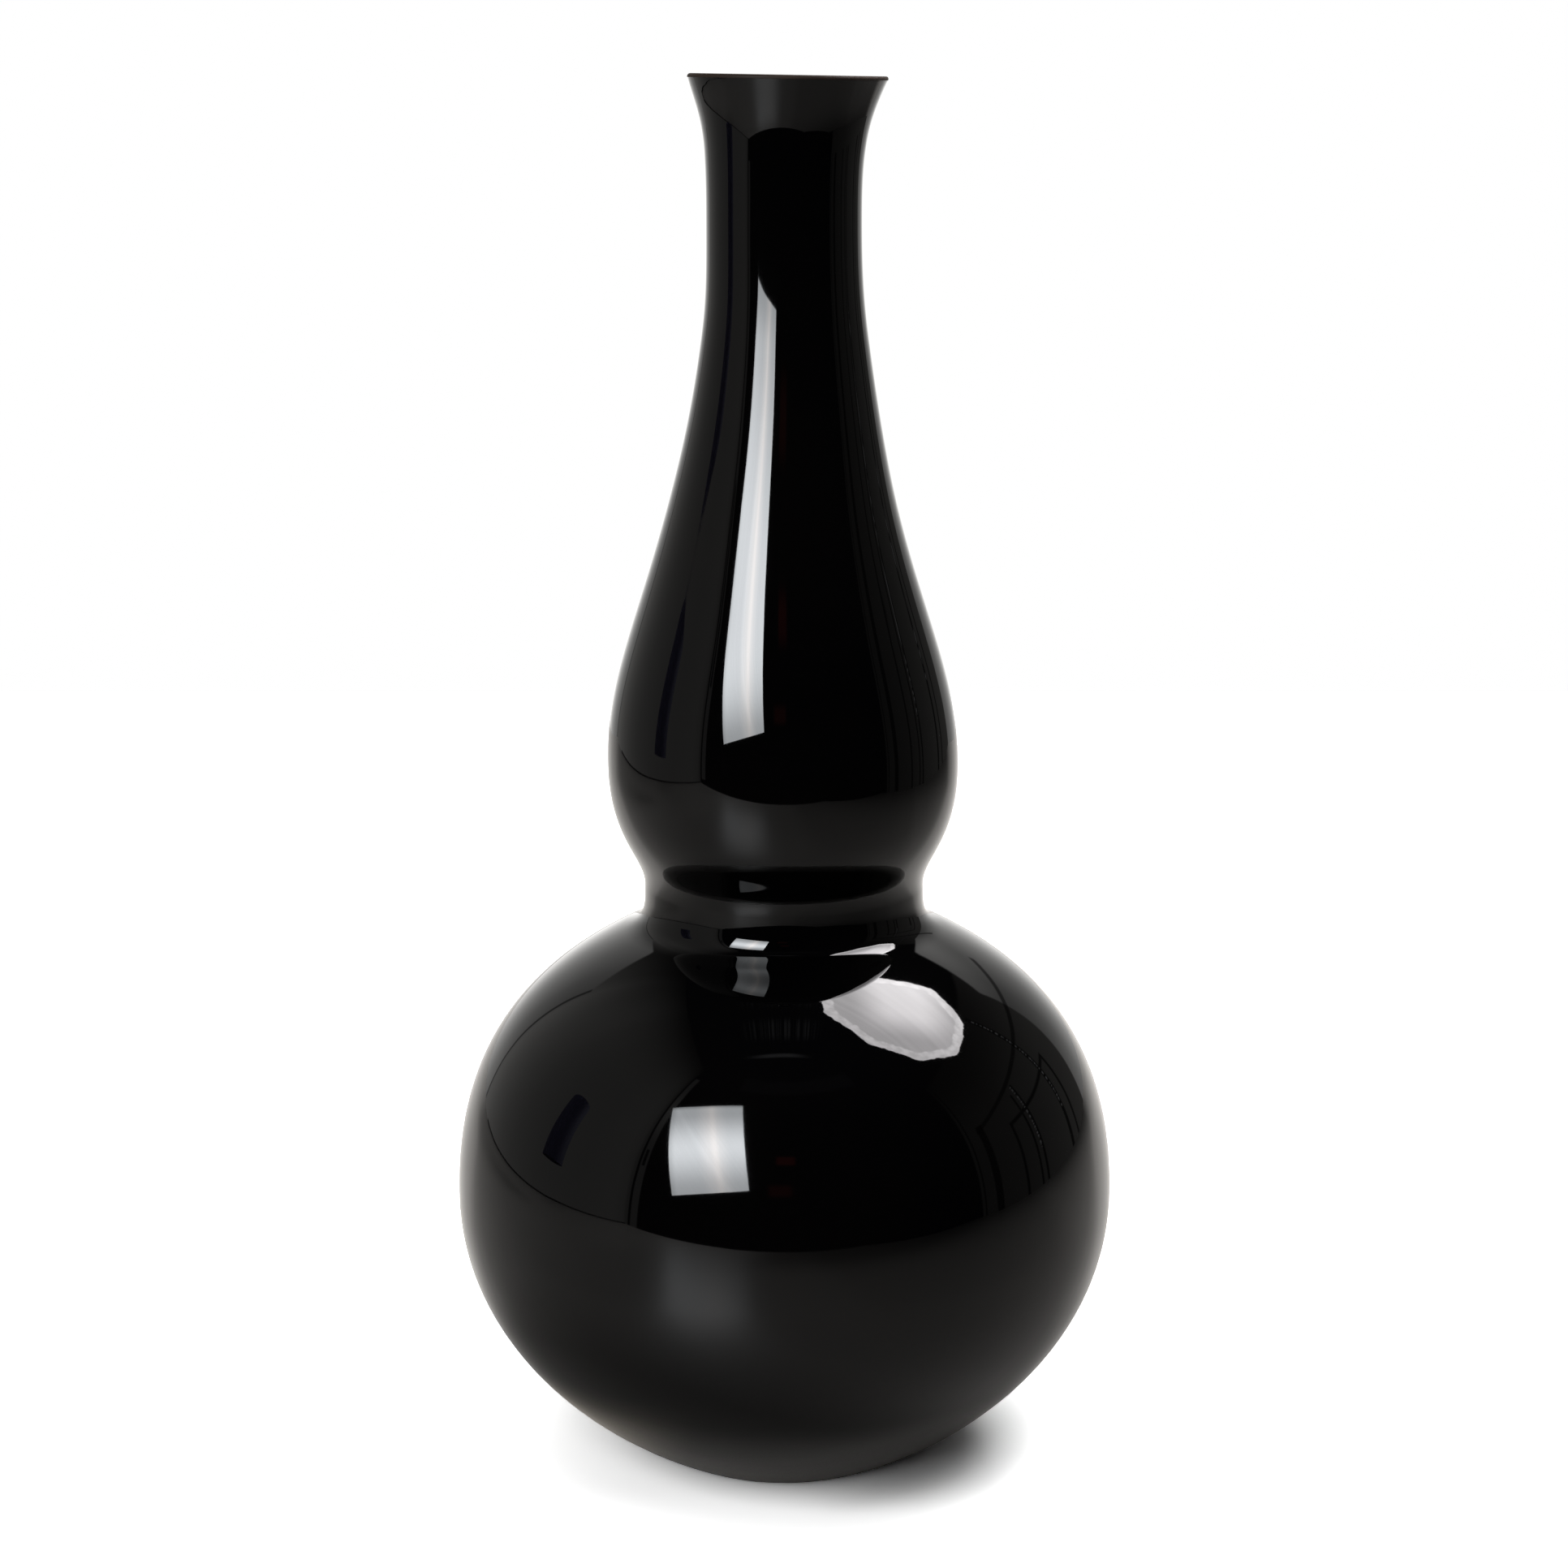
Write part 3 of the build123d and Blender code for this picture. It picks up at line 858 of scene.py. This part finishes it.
# %% Right wall with the stands before it
right_tone = turn_tones(
    turn, (1.03, 1.0, 0.95), (71, 0.058), (72, 0.05), (92, 0.062), (108, 0.083), (130, 0.09), (140, 0.084))
right_tone = scaled(room, right_tone, ease(room, rise, 16, 46, 1.0, 0.3))
board = reckon(room, "SUBTRACT", panel(92, 128.5, -12, 16), panel(93.2, 127.3, -12, 14.8))
dark_lines = reckon(room, "MAXIMUM", board, panel(72.2, 72.8, -12, 60, 0.2))
for stand_turn, half_width, stand_top in (
    (78.8, 1.5, 22), (79, 0.6, 5), (100.4, 0.5, 22), (103.6, 0.6, 24), (122.3, 0.9, 41),
):
    stand = panel(stand_turn - half_width, stand_turn + half_width, -12, stand_top, 0.3)
    dark_lines = reckon(room, "MAXIMUM", dark_lines, stand)
right_tone = scaled(room, right_tone, reckon(room, "MULTIPLY_ADD", dark_lines, -0.8, 1.0))
clamps = line_noise(room, product(room, rise, 0.22), 1.0)
chrome = reckon(room, "MAXIMUM", panel(102.6, 103.3, 2, 24, 0.25), panel(122, 122.6, 4, 40, 0.25))
right_tone = lay(right_tone, (0.36, 0.36, 0.37, 1.0), product(room, chrome, ease(room, clamps, 0.42, 0.62)))
right_top = ease(room, steepness(96), 1.02, 1.07, 1.0, 0.0)
view = lay(view, right_tone, product(room, between(turn, 71, 170), right_top))
print("with the right wall", len(room.nodes), "nodes")

# %% Backdrop behind, and white for the camera
backdrop_tone = turn_tones(
    far_turn, (1.0, 0.99, 0.97), (138, 0.31), (146, 0.38), (150, 0.47), (155, 0.57), (160, 0.72),
    (165, 0.92), (172, 1.05))
glare = product(room, ease(room, turn, 120, 145), ease(room, rise, 21, 34))
for level in (
    ease(room, turn, -30, 30, 1.13, 0.88), ease(room, rise, 13, -4, 1.0, 1.4),
    ease(room, rise, 8, 26, 1.0, 0.82), reckon(room, "MULTIPLY_ADD", glare, 1.2, 1.0),
):
    backdrop_tone = scaled(room, backdrop_tone, level)
backdrop_top = reckon(room, "MINIMUM", reckon(room, "MULTIPLY_ADD", far_turn, 0.55, -46), 43)
under_top = ease(room, reckon(room, "SUBTRACT", rise, backdrop_top), -0.8, 0.8, 1.0, 0.0)
view = lay(view, backdrop_tone, product(room, ease(room, far_turn, 138.8, 139.8), under_top))
sag = reckon(room, "POWER", reckon(room, "DIVIDE", reckon(room, "SUBTRACT", turn, 115), 38), 2)
crossbar = product(room, between(reckon(room, "MULTIPLY_ADD", sag, 6, rise), 25.3, 26.7, 0.3),
                   between(turn, 77, 155))
for line in (panel(-140.5, -139.5, -8, 31, 0.25), crossbar):
    view = scaled(room, view, reckon(room, "MULTIPLY_ADD", line, -0.7, 1.0))
to_camera = put(room, "ShaderNodeLightPath").outputs["Is Camera Ray"]
shown = lay(view, (1.0, 1.0, 1.0, 1.0), to_camera)
light = put(room, "ShaderNodeBackground", {"Color": shown, "Strength": 1.0}).outputs[0]
put(room, "ShaderNodeOutputWorld", {"Surface": light})
print("studio nodes:", len(room.nodes))

# %% [markdown]
# Lamps
#
# The main lamp is a tall softbox at the front left, and its reflection draws the long white strip
# down the gourd and the window on the globe. An eight-sided one hangs at the back right above the
# vase and shows on the shoulder. Area lamps are right for both, because a mirror shows their true
# outline, and their cloth is painted with nodes, since a flat white patch would look cut out. Both
# are bright in the mirror only, and a dim copy of each lights the paper at a plain level.


# %% Hang a lamp
def hang_lamp(name, centre, across, up, width, height, radiance):
    """An area lamp with its width along across, as bright per area as radiance says."""
    lamp = bpy.data.lights.new(name, "AREA")
    lamp.shape, lamp.size, lamp.size_y = "RECTANGLE", width, height
    lamp.energy = radiance * pi * width * height
    across = Vector(across).normalized()
    back = across.cross(up).normalized()
    axes = Matrix((across, back.cross(across), back)).transposed().to_4x4()
    made = placed(name, lamp)
    made.matrix_world = Matrix.Translation(centre) @ axes
    made.visible_camera = False
    print(name, "power in W", round(lamp.energy, 1))
    return made


# %% Softbox, bright in the mirror, and its dim copy
softbox_left_foot = Vector((-1.259, -1.619, 0.428))
softbox_right_foot = Vector((-0.395, -1.885, 0.604))
softbox_up = Vector((-0.129, 0.457, 1.322))
softbox_across = softbox_right_foot - softbox_left_foot
softbox_middle = (softbox_left_foot + softbox_right_foot + softbox_up) / 2
softbox_place = softbox_middle, softbox_across, softbox_up, softbox_across.length, softbox_up.length
softbox = hang_lamp("softbox", *softbox_place, 16.0)
softbox_fill = hang_lamp("softbox_fill", *softbox_place, 9.0)

# %% Eight-sided lamp and its dim copy
octabox_turn, octabox_rise, octabox_distance = radians(111), radians(60), 1.05
octabox_aim = Vector((0.0, 0.0, 0.18))
octabox_heading = Vector((
    sin(octabox_turn) * cos(octabox_rise), -cos(octabox_turn) * cos(octabox_rise), sin(octabox_rise)))
octabox_across = Vector((0.0, 0.0, 1.0)).cross(octabox_heading)
octabox_middle = octabox_heading * octabox_distance + octabox_aim
octabox_place = octabox_middle, octabox_across, octabox_heading.cross(octabox_across)
octabox_side, octabox_fill_side = 0.86, 0.64
octabox = hang_lamp("octabox", *octabox_place, octabox_side, octabox_side, 16.5)
octabox_fill = hang_lamp("octabox_fill", *octabox_place, octabox_fill_side, octabox_fill_side, 11.0)
for lamp in (softbox, octabox):
    lamp.visible_diffuse = False
for lamp in (softbox_fill, octabox_fill):
    lamp.visible_glossy = False


# %% Helpers for the cloth of the lamps
def cloth(lamp):
    """The lamp's node tree, its emission, and the place on its cloth from 0 to 1 both ways."""
    lamp.data.use_nodes = True
    fabric = lamp.data.node_tree
    place = put(fabric, "ShaderNodeNewGeometry").outputs["Parametric"]
    return fabric, fabric.nodes["Emission"], place


def streak(fabric, value, middle, reach, height):
    """A soft ridge of the given height round the middle."""
    off = reckon(fabric, "ABSOLUTE", reckon(fabric, "SUBTRACT", value, middle))
    return ease(fabric, off, reach, 0.0, 0.0, height)


def slanting(fabric, across, across_share, up, up_share):
    """A measure that grows along a slanting line on the cloth."""
    return reckon(fabric, "MULTIPLY_ADD", across, across_share, product(fabric, up, up_share))


# %% Cloth of the softbox
fabric, emission, place = cloth(softbox)
parts = parts_of(fabric, place)
across, up = parts["X"], parts["Y"]
evenness = reckon(fabric, "ADD", streak(fabric, up, 0.45, 0.45, 0.58), 0.48)
tube_side = reckon(fabric, "MULTIPLY_ADD", up, 0.1, across)
tube = reckon(fabric, "ADD", streak(fabric, tube_side, 0.65, 0.24, 0.2),
              streak(fabric, tube_side, 0.67, 0.07, 0.1))
slant = slanting(fabric, across, 0.8146, up, 0.5805)
weave = ease(fabric, line_noise(fabric, product(fabric, slant, 16.0)), 0.35, 0.65, -0.04, 0.04)
crease = reckon(fabric, "ADD", streak(fabric, slant, 0.6213, 0.05, 0.07), weave)
relief = reckon(fabric, "ADD", reckon(fabric, "ADD", tube, crease), 1.0)
top_hem, side_hem = ease(fabric, up, 1.0, 0.95, 0.55, 1.0), ease(fabric, across, 0.0, 0.1, 0.8, 1.0)
bright = product(fabric, evenness, relief, top_hem, side_hem)
tone = ramp(fabric, tube, (0.0, (0.945, 0.985, 1.02)), (0.3, (1.0, 0.975, 0.965)))
fabric.links.new(tone, emission.inputs["Color"])
fabric.links.new(bright, emission.inputs["Strength"])
print("softbox cloth nodes:", len(fabric.nodes))

# %% Outline of the eight-sided lamp
fabric, emission, place = cloth(octabox)
parts = parts_of(fabric, place)
across, up = [
    reckon(fabric, "MULTIPLY_ADD", parts[way], octabox_side, -octabox_side / 2) for way in ("X", "Y")
]
aside = reckon(fabric, "ABSOLUTE", slanting(fabric, across, 2.71, up, -0.76))
aloft = reckon(fabric, "ABSOLUTE", slanting(fabric, across, 0.32, up, 2.73))
eighths = product(fabric, reckon(fabric, "ADD", aside, aloft), 0.7071)
near_edge = slanting(fabric, across, 4.3, up, 0.35)
out = reckon(fabric, "SMOOTH_MAX", reckon(fabric, "MAXIMUM", aside, aloft),
             reckon(fabric, "MAXIMUM", eighths, near_edge), 0.12)
ruffle = put(fabric, "ShaderNodeTexNoise", {"Vector": place, "Scale": 18.0, "Detail": 2.0}).outputs["Fac"]
out = reckon(fabric, "MULTIPLY_ADD", reckon(fabric, "SUBTRACT", ruffle, 0.5), 0.08, out)
print("outline nodes:", len(fabric.nodes))

# %% Cloth of the eight-sided lamp
off_middle = reckon(fabric, "ABSOLUTE", reckon(fabric, "ADD", across, -0.08))
off_level = reckon(fabric, "ABSOLUTE", reckon(fabric, "ADD", up, 0.05))
core = product(fabric, ease(fabric, off_middle, 0.32, 0.08, 0.0, 0.38), ease(fabric, off_level, 0.29, 0.06))
folds = ease(fabric, ruffle, 0.35, 0.65, -0.06, 0.06)
skirt = product(fabric, ease(fabric, out, 0.83, 0.86), reckon(fabric, "ADD", folds, 0.15))
pleats = ease(fabric, line_noise(fabric, slanting(fabric, across, 3.0, up, -3.4)), 0.3, 0.7, 0.395, 0.445)
bright = reckon(fabric, "ADD", reckon(fabric, "ADD", pleats, core), skirt)
bright = product(fabric, bright, ease(fabric, out, 0.99, 1.01, 1.0, 0.0))
emission.inputs["Color"].default_value = (1.0, 0.97, 0.985, 1.0)
fabric.links.new(bright, emission.inputs["Strength"])
print("cloth nodes:", len(fabric.nodes))

# %% [markdown]
# The camera
#
# The camera stands as high as the mouth, looks a little down, and has a long lens, so the vase is
# drawn with hardly any perspective. The lens is given as the photograph's focal length in pixels.

# %% Set the camera
picture_side, focal_pixels = 1932, 4000
camera_height, camera_distance, look_down = 0.500, 1.1442, radians(12.325)
lens = bpy.data.cameras.new("camera")
lens.sensor_width = 36.0
lens.lens = focal_pixels / picture_side * lens.sensor_width
camera = placed("camera", lens)
camera.location = (0.0, -camera_distance, camera_height)
camera.rotation_euler = (pi / 2 - look_down, 0.0, 0.0)
bpy.context.scene.camera = camera
bpy.context.scene.view_settings.view_transform = "Standard"
print("lens in mm:", round(lens.lens, 2))
